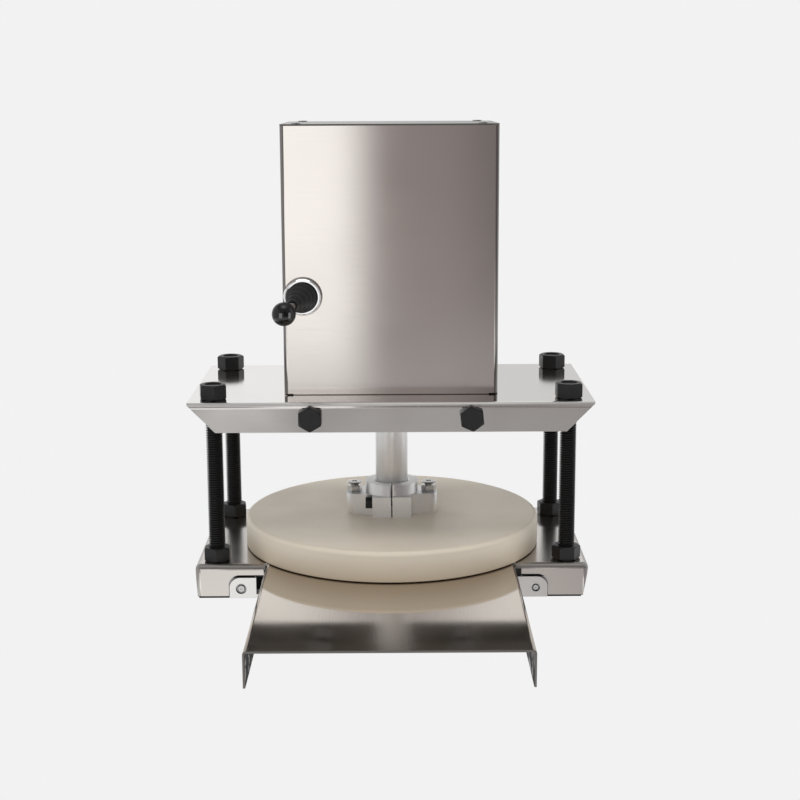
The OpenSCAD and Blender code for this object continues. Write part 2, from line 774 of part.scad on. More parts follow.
// Z runs out of the rear cover
module inlet_screw_spots() {
    for (s = [-1, 1]) translate([inlet[0] + s * inlet_screw_x, house_rear, inlet[1]])
        rotate([-90, 0, 0]) children();
}
module power_inlet() {
    color("black") in_place() translate([inlet[0], house_rear, inlet[1]]) difference() {
        union() {
            translate([-25, 0, -14.5]) cube([50, inlet_flange_t, 29]);
            translate([-13.8, -24, -12.3]) cube([27.6, 24 + eps, 24.6]);
        }
        translate([-12, -13, -8.2]) cube([24, 20, 16.4]);
        for (s = [-1, 1]) translate([s * inlet_screw_x, 0, 0]) rotate([90, 0, 0])
            cylinder(d = 3.2, h = 20, center = true);
    }
    color("silver") in_place() translate([inlet[0], house_rear, inlet[1]])
        for (p = [[-7, -1], [0, 2], [7, -1]]) translate([p[0] - 1, -14, p[1] - 2.2]) cube([2, 11, 4.4]);
}
module inlet_screws() {
    color("silver") in_place() inlet_screw_spots() translate([0, 0, inlet_flange_t])
        cap_screw(5.6, 1.8, 3, 9);
}

module switch_frame() {
    color("black") in_place() translate([rocker_at[0], house_rear, rocker_at[1]]) difference() {
        union() {
            translate([-8, 0, -12.5]) cube([16, 2, 25]);
            translate([-6.3, -16, -10.8]) cube([12.6, 16 + eps, 21.6]);
        }
        translate([-4.5, -9, -9]) cube([9, 20, 18]);
        translate([0, -3, 0]) rotate([0, 90, 0]) cylinder(d = 2.1, h = 12, center = true);
    }
}
module rocker() {
    half = 8.1;
    color("firebrick") in_place() translate([rocker_at[0], house_rear - 3, rocker_at[1]])
        rotate([rocker_tilt, 0, 0]) {
            translate([-4.2, 0, 0]) rotate([90, 0, 90]) linear_extrude(8.4)
                polygon([[-2.4, -3.4], [-2.4, 3.4], [2.6, half], [6.4, half - 0.3], [5, 0],
                    [6.4, 0.3 - half], [2.6, -half]]);
            rotate([0, 90, 0]) cylinder(d = 2, h = 11.6, center = true);
        }
}

// ---------- joystick ----------

module on_panel() { in_place() translate(joy) rotate([90, 0, 0]) children(); }
// Z runs out along the leaning lever, and X is the pivot's axis
module on_lever() {
    in_place() translate(joy_pivot) rotate([90, 0, 0])
        rotate(180 + joy_lean_dir) rotate([0, joy_lean, 0]) rotate(90) children();
}

module joystick_bezel() {
    color("silver") on_panel() difference() {
        union() {
            cylinder(d1 = bezel_d, d2 = bezel_rim_d, h = bezel_h - 0.8);
            translate([0, 0, bezel_h - 0.8 - eps])
                cylinder(d1 = bezel_rim_d, d2 = bezel_rim_d - 1.6, h = 0.8);
        }
        translate([0, 0, -eps]) cylinder(d = bezel_in, h = bezel_h + 1);
    }
}
module joystick_body() {
    color("black") on_panel() difference() {
        union() {
            translate([0, 0, -14]) cylinder(d = bezel_in - 0.4, h = 16);
            translate([-12.4, -12.4, -36]) cube([24.8, 24.8, 23]);
        }
        translate([0, 0, -18]) cylinder(d = 15, h = 30);
        joystick_pin_shape(20);
    }
}
module joystick_nut() {
    color("silver") on_panel() translate([0, 0, -house_t - 4.1]) difference() {
        hex(24, 4);
        translate([0, 0, -eps]) cylinder(d = bezel_in - 0.4, h = 5);
    }
}
module joystick_pin_shape(len) {
    translate([0, 0, -joy_pivot_depth]) rotate(joy_lean_dir + 90) rotate([0, 90, 0])
        cylinder(d = joy_pin_d, h = len, center = true);
}
module joystick_pin() { color("silver") on_panel() joystick_pin_shape(19); }
module joystick_boot() {
    base_r = bezel_in / 2 - 0.3;
    color("black") difference() {
        union() {
            on_panel() translate([0, 0, 2.2]) cylinder(r = base_r, h = 3);
            hull() {
                on_panel() translate([0, 0, 4]) cylinder(r = base_r - 1.5, h = 1, $fn = 32);
                on_lever() translate([0, 0, boot_tip - 3]) cylinder(r = 4.6, h = 3, $fn = 32);
            }
        }
        hull() {
            on_panel() translate([0, 0, 1.5]) cylinder(r = base_r - 3, h = 1.5, $fn = 32);
            on_lever() translate([0, 0, boot_tip - 6]) cylinder(r = 3.4, h = 2, $fn = 32);
        }
        on_lever() cylinder(d = lever_d + 0.6, h = boot_tip + 5);
    }
}
module joystick_lever() {
    color("silver") on_lever() difference() {
        union() {
            translate([0, 0, -lever_tail]) cylinder(d = lever_d, h = lever_len + lever_tail);
            sphere(d = 10);
        }
        rotate([0, 90, 0]) cylinder(d = joy_pin_d + 2 * run_gap, h = 12, center = true);
    }
}
module joystick_knob() {
    color("black") on_lever() translate([0, 0, knob_at]) difference() {
        union() {
            sphere(d = knob_d);
            translate([0, 0, -knob_d / 2 - 0.5]) cylinder(d = 8, h = 3);
        }
        translate([0, 0, -knob_d]) cylinder(d = lever_d, h = knob_d + lever_len - knob_at);
    }
}

// ---------- ram, clamp and press disc ----------

module ram_shaft() {
    color("gainsboro") on_ram_axis() translate([0, 0, disc_top]) difference() {
        cylinder(d = ram_d, h = ram_len);
        translate([0, 0, ram_floor]) cylinder(d = ram_bore, h = ram_len);
    }
}

module clamp_flange_outline() {
    r = 5;
    w = clamp_w / 2;
    b = clamp_block_w / 2;
    side = 5.5;
    polygon([
        [-w, -side], [r - w, -side - r], [-b, -13.5], [-b, -22], [b, -22], [b, -13.5], [w - r, -side - r],
        [w, -side], [w, side], [w - r, side + r], [b, 16], [-b, 16], [r - w, side + r], [-w, side]
    ]);
    for (x = [r - w, w - r], y = [-side, side]) translate([x, y]) circle(r);
}
module clamp_ear_spots() { for (s = [-1, 1]) translate([s * clamp_span / 2, 0, 0]) children(); }
module shaft_clamp() {
    color("lightgray") on_ram_axis() translate([0, 0, disc_top]) difference() {
        union() {
            linear_extrude(clamp_flange_h) clamp_flange_outline();
            cylinder(d = 39.5, h = clamp_h);
        }
        translate([0, 0, -1]) cylinder(d = ram_d, h = clamp_h + 2);
        translate([0, 0, clamp_h - 1.2]) cylinder(d1 = ram_d, d2 = ram_d + 3, h = 1.2 + eps);
        // Split, clamp bolt hole and the pocket for the bolt's head
        translate([-0.5, -30, -1]) cube([1, 30 - ram_d / 2 + 1, clamp_h + 2]);
        translate([-20, clamp_bolt_y, clamp_bolt_z]) rotate([0, 90, 0]) cylinder(d = clamp_bolt_d, h = 32);
        clamp_ear_spots() translate([0, 0, -1]) cylinder(d = disc_screw_d + 0.4, h = clamp_flange_h + 2);
    }
}
module clamp_bolt() {
    color("black") on_ram_axis() translate([-clamp_block_w / 2, clamp_bolt_y, disc_top + clamp_bolt_z])
        rotate([0, -90, 0]) difference() {
            cap_screw(8.5, 5, clamp_bolt_d, 24);
            translate([0, 0, 2.5]) hex(4, 4);
        }
}
module disc_screw_nuts() {
    color("silver") on_ram_axis() clamp_ear_spots() translate([0, 0, disc_top + clamp_flange_h])
        hex_nut(10, disc_screw_d, 4.2, 10);
}
module disc_screws() {
    cone_h = 2;
    head_d = 11.3;
    color("silver") on_ram_axis() clamp_ear_spots() translate([0, 0, disc_top + clamp_flange_h + 4.6])
        difference() {
            union() {
                cylinder(d1 = disc_screw_d, d2 = head_d, h = cone_h);
                translate([0, 0, cone_h - eps]) cylinder(d1 = head_d, d2 = head_d - 0.9, h = 0.7);
                translate([0, 0, -34]) cylinder(d = disc_screw_d, h = 34 + eps);
            }
            for (a = [45, 135]) rotate(a) translate([-2.6, -0.55, 1.1]) cube([5.2, 1.1, 3]);
        }
}
module press_disc() {
    r = 3.5;
    color("wheat") on_ram_axis() translate([0, 0, base_h + disc_gap]) difference() {
        rotate_extrude($fn = 96) difference() {
            square([disc_d / 2, disc_t]);
            translate([disc_d / 2, disc_t]) difference() {
                square(2 * r, center = true);
                translate([-r, -r]) circle(r);
            }
            translate([disc_d / 2, 0]) difference() {
                square(2, center = true);
                translate([-1, 1]) circle(1);
            }
        }
        clamp_ear_spots() translate([0, 0, disc_t - 14]) cylinder(d = disc_screw_d, h = 15);
    }
}
module drive_nut() {
    color("gold") on_ram_axis() translate([0, 0, ram_top]) difference() {
        union() {
            translate([0, 0, -20]) cylinder(d = ram_bore, h = 20 + eps);
            cylinder(d = nut_flange_d, h = nut_flange_h);
            translate([guide_x, -7, 0]) cube([-guide_x, 14, nut_flange_h]);
            translate([guide_x, 0, 0]) cylinder(d = 14, h = nut_flange_h);
        }
        translate([0, 0, -21]) cylinder(d = screw_d, h = 22 + nut_flange_h);
        translate([guide_x, 0, -1]) cylinder(d = guide_d + 0.15, h = nut_flange_h + 2);
    }
}

base_shell();
base_backing_plate();
dough_tray();
tray_brackets();
tray_rivets();
tie_rod_front_left();
tie_rod_front_right();
tie_rod_rear_left();
tie_rod_rear_right();
base_bottom_nuts();
base_top_nuts();
beam_lock_nuts();
beam_top_nuts();
upper_beam();
beam_cross_bars();
flange_bolts();
housing_shell();
housing_screws();
top_cover();
top_cover_screws();
rear_cover();
rear_cover_screws();
guide_bush();
guide_bush_screws();
ram_wiper();
anti_rotation_rod();
plate_columns();
motor_plate();
column_nuts();
screw_bearing();
thrust_washer();
gear_motor();
motor_screws();
sensor_bracket();
limit_sensors();
control_board();
board_spacers();
power_supply();
power_inlet();
inlet_screws();
switch_frame();
joystick_bezel();
joystick_boot();
joystick_body();
joystick_nut();
joystick_pin();
ram_shaft();
shaft_clamp();
clamp_bolt();
disc_screws();
disc_screw_nuts();
press_disc();
drive_nut();
lead_screw();
screw_gear();
gear_nut();
motor_pinion();
joystick_lever();
joystick_knob();
rocker();
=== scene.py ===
import json
import math

import bmesh
import bpy
from mathutils import Matrix, Vector


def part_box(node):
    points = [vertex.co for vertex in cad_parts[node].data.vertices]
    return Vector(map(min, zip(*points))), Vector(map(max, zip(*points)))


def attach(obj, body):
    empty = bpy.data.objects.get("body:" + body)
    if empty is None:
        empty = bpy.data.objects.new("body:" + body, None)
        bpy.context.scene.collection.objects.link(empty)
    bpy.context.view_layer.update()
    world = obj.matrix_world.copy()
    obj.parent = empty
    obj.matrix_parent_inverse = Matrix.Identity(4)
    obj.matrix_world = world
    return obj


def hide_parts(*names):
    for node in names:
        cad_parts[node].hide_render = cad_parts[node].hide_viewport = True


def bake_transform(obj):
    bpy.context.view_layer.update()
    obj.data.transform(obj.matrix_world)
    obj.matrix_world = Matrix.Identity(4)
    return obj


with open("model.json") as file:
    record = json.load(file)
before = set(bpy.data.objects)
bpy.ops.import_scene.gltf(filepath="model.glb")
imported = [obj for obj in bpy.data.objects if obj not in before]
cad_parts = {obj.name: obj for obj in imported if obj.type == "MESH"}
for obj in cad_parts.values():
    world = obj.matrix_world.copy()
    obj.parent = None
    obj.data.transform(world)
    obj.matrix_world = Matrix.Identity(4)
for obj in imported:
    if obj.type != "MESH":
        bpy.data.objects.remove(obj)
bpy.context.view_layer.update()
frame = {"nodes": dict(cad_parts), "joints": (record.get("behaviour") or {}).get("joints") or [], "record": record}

# The looks of an electric dough press on its CAD frame. Front is -Y, up is +Z, and lengths are in metres.

MM = 0.001
UP = Vector((0, 0, 1))
ROOT_BODY = "press_frame"

# Camera, in front of the press and a little above it
CAMERA_AT = Vector((0.0040, -1.0531, 0.3583))
CAMERA_DOWN = math.radians(11.42)
CAMERA_RIGHT = math.radians(0.131)
CAMERA_ROLL = math.radians(-0.256)
CAMERA_LENS = 68.5

# Thread of the tie rods: pitch, depth, and the shares of the pitch that are flat at the root and at the crest
ROD_THREAD = (1.75 * MM, 1.3 * MM, 0.32, 0.12)
ROD_CHAMFER = 1.1 * MM

# Joystick boot
BOOT_STEPS = 5
BOOT_WALL = 1.2 * MM
BOOT_LENGTH = 30 * MM
BOOT_TIP_RADIUS = 4.6 * MM
BOOT_BORE_RADIUS = 3 * MM
BOOT_SIDES = 64

# Depth of the waves in hand-polished sheet
SHEET_WAVE = 0.02 * MM

# Brightness of the floor and of what the camera sees behind the press
BACKGROUND = 0.888


# ---------- places taken from the frame ----------

def corners(node):
    low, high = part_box(node)
    return Vector(low), Vector(high)


def middle(node):
    low, high = corners(node)
    return (low + high) / 2


def joint(name):
    return next(j for j in frame["joints"] if j["name"] == name)


# ---------- mesh helpers ----------

def sharpen(mesh_edit, degrees):
    """Smooth shading, with a hard edge wherever the surface turns by more than this."""
    for face in mesh_edit.faces:
        face.smooth = True
    for edge in mesh_edit.edges:
        edge.smooth = len(edge.link_faces) == 2 and edge.calc_face_angle(0) < math.radians(degrees)


def new_piece(name, mesh_edit, look, degrees, body=ROOT_BODY):
    """Turns a finished bmesh into an object that rides on a body."""
    bmesh.ops.recalc_face_normals(mesh_edit, faces=mesh_edit.faces)
    sharpen(mesh_edit, degrees)
    mesh = bpy.data.meshes.new(name)
    mesh_edit.to_mesh(mesh)
    mesh_edit.free()
    mesh.materials.append(look)
    piece = bpy.data.objects.new(name, mesh)
    bpy.context.scene.collection.objects.link(piece)
    if body:
        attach(piece, body)
    return piece


def bridge(mesh_edit, first, second):
    """Quads between two closed rings of vertices."""
    count = len(first)
    for k in range(count):
        mesh_edit.faces.new((first[k], first[(k + 1) % count], second[(k + 1) % count], second[k]))


def thread(mesh_edit, axis, bottom, top, crest, shape, chamfer, sides=48):
    """A right-hand thread round a vertical axis, cut flat and chamfered at both ends."""
    pitch, depth, root_flat, crest_flat = shape
    flank = (1 - root_flat - crest_flat) / 2
    corners_of_one = [
        (0, crest - depth),
        (root_flat, crest - depth),
        (root_flat + flank, crest),
        (root_flat + flank + crest_flat, crest),
    ]
    step = len(corners_of_one)
    turns = math.ceil((top - bottom) / pitch) + 2
    rows = []
    for turn in range(turns):
        for share, radius in corners_of_one:
            row = []
            for side in range(sides):
                angle = 2 * math.pi * side / sides
                height = bottom + (turn + share + side / sides - 1.5) * pitch
                inside = max(min(height - bottom, top - height), 0)
                reach = min(radius, crest - chamfer + inside)
                spot = (axis.x + reach * math.cos(angle), axis.y + reach * math.sin(angle), height)
                row.append(mesh_edit.verts.new(spot))
            rows.append(row)
    for low in range(len(rows) - 1):
        for side in range(sides):
            if side + 1 < sides:
                right_low, right_high = rows[low][side + 1], rows[low + 1][side + 1]
            elif low + step + 1 < len(rows):
                right_low, right_high = rows[low + step][0], rows[low + step + 1][0]
            else:
                continue
            mesh_edit.faces.new((rows[low][side], right_low, right_high, rows[low + 1][side]))
    for height, outward in ((bottom, -UP), (top, UP)):
        everything = mesh_edit.verts[:] + mesh_edit.edges[:] + mesh_edit.faces[:]
        cut = bmesh.ops.bisect_plane(mesh_edit, geom=everything, plane_co=UP * height, plane_no=outward,
                                     clear_outer=True)["geom_cut"]
        rim = [item for item in cut if isinstance(item, bmesh.types.BMEdge)]
        bmesh.ops.contextual_create(mesh_edit, geom=rim)


# ---------- materials ----------

AXES = {"X": (1, 0, 0), "Y": (0, 1, 0), "Z": (0, 0, 1)}


class NodeTree:
    """Adds nodes to a shader tree. An input that is a socket gets linked, any other is a value."""

    def __init__(self, tree):
        self.tree = tree

    def node(self, kind, inputs=None, **settings):
        made = self.tree.nodes.new("ShaderNode" + kind)
        for label, value in settings.items():
            setattr(made, label, value)
        for label, value in (inputs or {}).items():
            if isinstance(value, bpy.types.NodeSocket):
                self.tree.links.new(value, made.inputs[label])
            else:
                made.inputs[label].default_value = value
        return made

    def math(self, operation, first, second):
        return self.node("Math", {0: first, 1: second}, operation=operation).outputs[0]


class Look(NodeTree):
    """A procedural material, built up in layers on one Principled shader."""

    def __init__(self, name, color, metallic=0.0, roughness=0.5, **fixed):
        self.material = bpy.data.materials.new(name)
        self.material.use_nodes = True
        super().__init__(self.material.node_tree)
        self.shader = self.tree.nodes["Principled BSDF"]
        self.color = (*color, 1.0)
        self.roughness = roughness
        self.normal = None
        self.shader.inputs["Base Color"].default_value = self.color
        self.shader.inputs["Metallic"].default_value = metallic
        self.shader.inputs["Roughness"].default_value = roughness
        for label, value in fixed.items():
            self.shader.inputs[label.replace("_", " ")].default_value = value

    def points(self, stretch=(1, 1, 1), origin=(0, 0, 0)):
        """The surface's place on the object, in metres from origin, stretched along each axis."""
        place = self.node("TexCoord").outputs["Object"]
        shift = tuple(-o * s for o, s in zip(origin, stretch))
        return self.node("Mapping", {"Vector": place, "Scale": stretch, "Location": shift}).outputs[0]

    def noise(self, scale, stretch=(1, 1, 1), detail=2.0):
        inputs = {"Vector": self.points(stretch), "Scale": scale, "Detail": detail}
        return self.node("TexNoise", inputs).outputs[0]

    def remap(self, value, start, end, low=0.0, high=1.0):
        ends = {"Value": value, "From Min": start, "From Max": end, "To Min": low, "To Max": high}
        return self.node("MapRange", ends).outputs[0]

    def tint(self, mask, color):
        """Mixes another colour in where the mask is 1."""
        mixed = self.node("Mix", {0: mask, 6: self.color, 7: (*color, 1.0)}, data_type="RGBA")
        self.color = mixed.outputs[2]
        self.tree.links.new(self.color, self.shader.inputs["Base Color"])

    def rough(self, value, low, high):
        """Roughness from low to high as the value goes from 0.35 to 0.65, on top of what is there."""
        change = self.remap(value, 0.35, 0.65, low - self.base_roughness(), high - self.base_roughness())
        self.roughness = self.math("ADD", change, self.roughness)
        self.tree.links.new(self.roughness, self.shader.inputs["Roughness"])

    def dull(self, mask, value):
        """Takes the roughness to a value where the mask is 1."""
        ends = {"Value": mask, "To Min": self.roughness, "To Max": value}
        self.roughness = self.node("MapRange", ends).outputs[0]
        self.tree.links.new(self.roughness, self.shader.inputs["Roughness"])

    def stretch_gloss(self, along, amount):
        """Blurs reflections along one world axis, as a brushed grain across it does."""
        self.shader.inputs["Anisotropic"].default_value = amount
        axis = self.node("CombineXYZ", dict(zip("XYZ", along)))
        self.tree.links.new(axis.outputs[0], self.shader.inputs["Tangent"])

    def facing(self):
        """The outward direction of the surface, as X, Y and Z."""
        normal = self.node("NewGeometry").outputs["Normal"]
        return self.node("SeparateXYZ", {0: normal}).outputs

    def place(self):
        return self.node("SeparateXYZ", {0: self.points()}).outputs

    def any(self, *masks):
        mask = masks[0]
        for other in masks[1:]:
            mask = self.math("MAXIMUM", mask, other)
        return mask

    def bends(self):
        """1 where the sheet turns from one flat side to the next."""
        flatness = self.any(*[self.math("ABSOLUTE", part, 0) for part in self.facing()])
        return self.remap(flatness, 0.99, 0.96)

    def base_roughness(self):
        return self.shader.inputs["Roughness"].default_value

    def bump(self, height, depth, strength=1.0):
        inputs = {"Height": height, "Distance": depth, "Strength": strength}
        if self.normal:
            inputs["Normal"] = self.normal
        self.normal = self.node("Bump", inputs).outputs[0]
        self.tree.links.new(self.normal, self.shader.inputs["Normal"])

    def worn_edges(self, color, share):
        """Rubbed and chipped edges: convex places, broken up by noise."""
        point = self.node("NewGeometry").outputs["Pointiness"]
        edge = self.remap(point, 0.515, 0.56)
        chips = self.remap(self.noise(900, detail=4), 0.62 - 0.2 * share, 0.68)
        self.tint(self.math("MULTIPLY", edge, chips), color)


def sheet_steel(name, color, roughness, grain_along, blur_along, blur=0.9):
    """Brushed stainless sheet. Its grain runs along one axis and blurs reflections along another."""
    look = Look(name, color, metallic=1.0, roughness=roughness)
    grain = look.noise(1, tuple(25 if axis in grain_along else 2600 for axis in "XYZ"), detail=3)
    look.rough(grain, roughness - 0.005, roughness + 0.01)
    look.rough(look.noise(14, detail=3), roughness - 0.005, roughness + 0.015)
    look.tint(look.remap(grain, 0.3, 0.8, 0, 0.2), tuple(0.86 * c for c in color))
    look.bump(look.noise(9, detail=0), SHEET_WAVE)
    look.stretch_gloss(AXES[blur_along], blur)
    return look


def housing_sheet():
    """Horizontal grain, with painted contact shade along the bottom where it stands on the beam, and painted shade
    in the bends.
    """
    look = sheet_steel("housing_sheet", (0.86, 0.81, 0.765), 0.10, "X", "Z")
    foot = corners("upper_beam")[1].z
    # Painted shade: a dark band along the bottom, where the housing stands on the beam.
    painted_contact_shade = look.math("LESS_THAN", look.place()[2], foot + 0.5 * MM)
    look.tint(painted_contact_shade, (0.16, 0.14, 0.13))
    # Painted shade: the bends are tinted dark to dim their highlights.
    look.tint(look.bends(), (0.27, 0.26, 0.25))
    look.dull(look.bends(), 0.16)
    return look.material


def beam_sheet():
    """Mirror-polished outside. The underside and the inner faces of the flanges are dull and darkened with painted
    shade, and the bends carry a slight painted shade.
    """
    look = sheet_steel("beam_sheet", (0.82, 0.80, 0.775), 0.08, "X", "Y")
    facing, place = look.facing(), look.place()
    depth = look.math("SUBTRACT", place[1], middle("upper_beam").y)
    inward = look.math("LESS_THAN", look.math("MULTIPLY", facing[1], depth), -0.01)
    inside = look.any(look.remap(facing[2], -0.3, -0.7), inward)
    # Painted shade: the bends are tinted slightly darker.
    look.tint(look.bends(), (0.96, 0.94, 0.91))
    # Painted shade: faces turned down, or inwards towards the middle of the beam, are tinted dark.
    look.tint(inside, (0.36, 0.35, 0.34))
    look.dull(look.bends(), 0.36)
    look.dull(inside, 0.45)
    return look.material


def base_sheet():
    """Polished but handled: softer reflections. Painted shade darkens its upward faces and its bends, and a
    painted shadow line runs along the bottom.
    """
    look = sheet_steel("base_sheet", (0.78, 0.735, 0.69), 0.15, "Y", "X", blur=0.8)
    # Painted shade: the bends are tinted darker to dim their highlights.
    look.tint(look.bends(), (0.46, 0.44, 0.42))
    look.dull(look.bends(), 0.40)
    # Painted shade: faces that look upwards are tinted darker.
    look.tint(look.remap(look.facing()[2], 0.8, 0.95), (0.56, 0.53, 0.50))
    # Painted shadow: a black line along the lowest millimetre and a half, where the walls stand just above the
    # table.
    bottom = look.remap(look.place()[2], 1.8 * MM, 1.4 * MM)
    look.tint(bottom, (0.03, 0.03, 0.03))
    look.dull(bottom, 0.6)
    return look.material


def tray_sheet():
    """Grain from back to front. The inner sides, the underside and the sheared edges are dull. The inner sides,
    the underside and the faces of the ears that don't look forwards are darkened with painted shade, and the top
    carries a painted warm reflection of the disc.
    """
    look = sheet_steel("tray_sheet", (0.88, 0.87, 0.84), 0.10, "Y", "X", blur=1.0)
    look.bump(look.noise(1, (2600, 25, 25), detail=2), 0.018 * MM)
    facing, place = look.facing(), look.place()
    low, high = corners("dough_tray")
    # Painted reflection: the top is tinted darker and warmer, standing in for the cream disc mirrored in it.
    look.tint(look.remap(place[2], high.z - 4 * MM, high.z - 2 * MM), (0.58, 0.525, 0.465))
    across = look.math("SUBTRACT", place[0], middle("dough_tray").x)
    inner = look.math("LESS_THAN", look.math("MULTIPLY", facing[0], across), -0.01)
    below = look.remap(facing[2], -0.3, -0.7)
    front_edge = look.math("LESS_THAN", place[1], low.y + 0.3 * MM)
    turned_away = look.remap(look.math("ABSOLUTE", facing[1], 0), 0.6, 0.4)
    on_ears = look.math("MULTIPLY", look.remap(place[2], high.z - 5 * MM, high.z - 6 * MM),
                        look.math("GREATER_THAN", place[1], corners("base_shell")[0].y - 2 * MM))
    # Painted shade: the inner sides, the underside, and the faces of the ears that don't look forwards, where they
    # sit in the base, are tinted nearly black.
    dark = look.any(inner, below, look.math("MULTIPLY", turned_away, on_ears))
    look.tint(front_edge, (0.26, 0.245, 0.23))
    look.tint(dark, (0.05, 0.047, 0.043))
    look.dull(look.any(dark, front_edge), 0.42)
    return look.material


def turned_metal(name, color, roughness, stain=0.0):
    """Machined metal with fine rings round its upright axis."""
    look = Look(name, color, metallic=1.0, roughness=roughness)
    rings = look.noise(1, (60, 60, 4200), detail=2)
    look.rough(rings, roughness - 0.02, roughness + 0.03)
    look.tint(look.remap(look.noise(25, detail=3), 0.45, 0.75, 0, stain), tuple(0.75 * c for c in color))
    look.bump(rings, 0.002 * MM)
    return look.material


def milled_metal(name, color, roughness, stretch=(3000, 40, 900)):
    look = Look(name, color, metallic=1.0, roughness=roughness)
    marks = look.noise(1, stretch, detail=2)
    look.rough(marks, roughness - 0.05, roughness + 0.07)
    look.tint(look.remap(look.noise(60, detail=4), 0.45, 0.7, 0, 0.4), tuple(0.7 * c for c in color))
    look.bump(marks, 0.01 * MM)
    look.worn_edges(tuple(min(1, 1.25 * c) for c in color), 0.8)
    return look.material


def black_oxide(name, color=0.010, roughness=0.38):
    look = Look(name, (color, color * 0.97, color), metallic=0.2, roughness=roughness)
    look.rough(look.noise(220, detail=4), roughness - 0.05, roughness + 0.06)
    look.tint(look.remap(look.noise(90, detail=5), 0.5, 0.8, 0, 0.5), (2 * color, 1.95 * color, 1.9 * color))
    look.bump(look.noise(1400, detail=3), 0.008 * MM, 0.5)
    return look.material


def bolt_steel(name, color, roughness):
    look = Look(name, color, metallic=1.0, roughness=roughness)
    look.rough(look.noise(500, detail=3), roughness - 0.03, roughness + 0.05)
    look.tint(look.remap(look.noise(300, detail=4), 0.45, 0.7, 0, 0.25), tuple(0.7 * c for c in color))
    look.bump(look.noise(2500, detail=2), 0.003 * MM)
    return look.material


def press_plastic():
    """Ivory polyethylene: turned on a lathe, a little waxy, with rubbed patches and tiny specks."""
    look = Look("press_plastic", (0.60, 0.535, 0.44), roughness=0.42,
                Subsurface_Weight=0.12, Subsurface_Radius=(0.004, 0.003, 0.002), Subsurface_Scale=1.0)
    centre = middle("ram_shaft")
    place = look.points(origin=(centre.x, centre.y, 0))
    rings = look.node("TexWave", {"Vector": place, "Scale": 260, "Distortion": 0.4, "Detail": 1.0},
                      wave_type="RINGS", rings_direction="Z").outputs["Fac"]
    patches = look.noise(22, detail=4)
    look.rough(patches, 0.36, 0.5)
    look.tint(look.remap(patches, 0.4, 0.75, 0, 0.5), (0.55, 0.495, 0.42))
    low, high = corners("press_disc")
    height = look.place()[2]
    # Painted shade: the disc turns darker and browner towards its lower edge.
    look.tint(look.remap(height, high.z - 6 * MM, low.z, 0, 0.75), (0.40, 0.315, 0.215))
    look.tint(look.remap(look.noise(1500, detail=1), 0.72, 0.76, 0, 0.6), (0.20, 0.16, 0.12))
    look.bump(rings, 0.006 * MM, 0.6)
    look.bump(look.noise(300, detail=5), 0.02 * MM, 0.5)
    return look.material


def moulded(name, color, roughness, **fixed):
    """Moulded plastic or rubber with a fine spark-eroded texture."""
    look = Look(name, color, roughness=roughness, **fixed)
    look.rough(look.noise(120, detail=3), roughness - 0.05, roughness + 0.06)
    look.tint(look.remap(look.noise(35, detail=4), 0.5, 0.8, 0, 0.5), tuple(1.5 * c + 0.006 for c in color))
    look.bump(look.noise(3200, detail=2), 0.015 * MM)
    return look.material


def glossy(name, color, roughness, metallic=0.0):
    """A hard polished surface with faint handling marks."""
    look = Look(name, color, metallic=metallic, roughness=roughness)
    look.rough(look.noise(70, detail=5), roughness - 0.02, roughness + 0.05)
    look.tint(look.remap(look.noise(50, detail=3), 0.5, 0.8, 0, 0.3), tuple(0.8 * c + 0.003 for c in color))
    look.bump(look.noise(45, detail=1), 0.01 * MM)
    return look.material


def circuit_board():
    """Green board with pale tracks. What stands in front of the board is dark plastic."""
    look = Look("circuit_board", (0.012, 0.09, 0.035), roughness=0.35)
    tracks = look.node("TexBrick", {"Vector": look.points((1, 0, 1)), "Scale": 160, "Mortar Size": 0.05},
                       offset=0.37, squash=1.7, squash_frequency=3).outputs["Fac"]
    look.tint(look.math("MULTIPLY", tracks, look.remap(look.noise(90), 0.45, 0.5)), (0.10, 0.30, 0.12))
    depth = look.place()[1]
    board_front = corners("board_spacers")[0].y - 1.7 * MM
    look.tint(look.math("LESS_THAN", depth, board_front), (0.018, 0.02, 0.03))
    look.bump(look.noise(700), 0.02 * MM)
    return look.material


LOOKS = {
    "stainless_polished": beam_sheet(),
    "stainless_satin": housing_sheet(),
    "stainless_dull": sheet_steel("dull_sheet", (0.23, 0.225, 0.215), 0.38, "Y", "X").material,
    "ram_steel": turned_metal("ground_steel", (0.94, 0.94, 0.94), 0.42),
    "black_oxide_steel": black_oxide("black_oxide"),
    "mild_steel": milled_metal("machined_steel", (0.46, 0.46, 0.47), 0.34),
    "stainless_fasteners": bolt_steel("bright_fasteners", (0.72, 0.72, 0.71), 0.25),
    "aluminium_plate": milled_metal("milled_aluminium", (0.72, 0.73, 0.74), 0.30, (60, 1800, 1800)),
    "bronze": turned_metal("turned_bronze", (0.55, 0.36, 0.16), 0.27, stain=0.35),
    "food_plastic": press_plastic(),
    "black_rubber": moulded("soft_rubber", (0.011, 0.011, 0.012), 0.40),
    "black_plastic": moulded("black_moulding", (0.022, 0.022, 0.024), 0.42),
    "black_gloss_plastic": glossy("ball_plastic", (0.002, 0.002, 0.002), 0.10),
    "chrome_trim": glossy("chrome_plate", (0.86, 0.86, 0.86), 0.08, metallic=1.0),
    "motor_paint": moulded("motor_enamel", (0.03, 0.03, 0.033), 0.34, Coat_Weight=0.3),
    "circuit_green": circuit_board(),
    "white_nylon": moulded("nylon", (0.72, 0.72, 0.69), 0.45),
    "supply_casing": milled_metal("folded_aluminium", (0.66, 0.67, 0.68), 0.36, (1200, 1200, 40)),
    "red_plastic": glossy("switch_red", (0.40, 0.02, 0.015), 0.25),
}

# Steel under the beam, which the tray reflects. Painted shade: its colour is darkened to stand for the shadow
# under the beam.
PAINTED_SHADE_STEEL = milled_metal("steel_painted_shade", (0.16, 0.157, 0.153), 0.5)

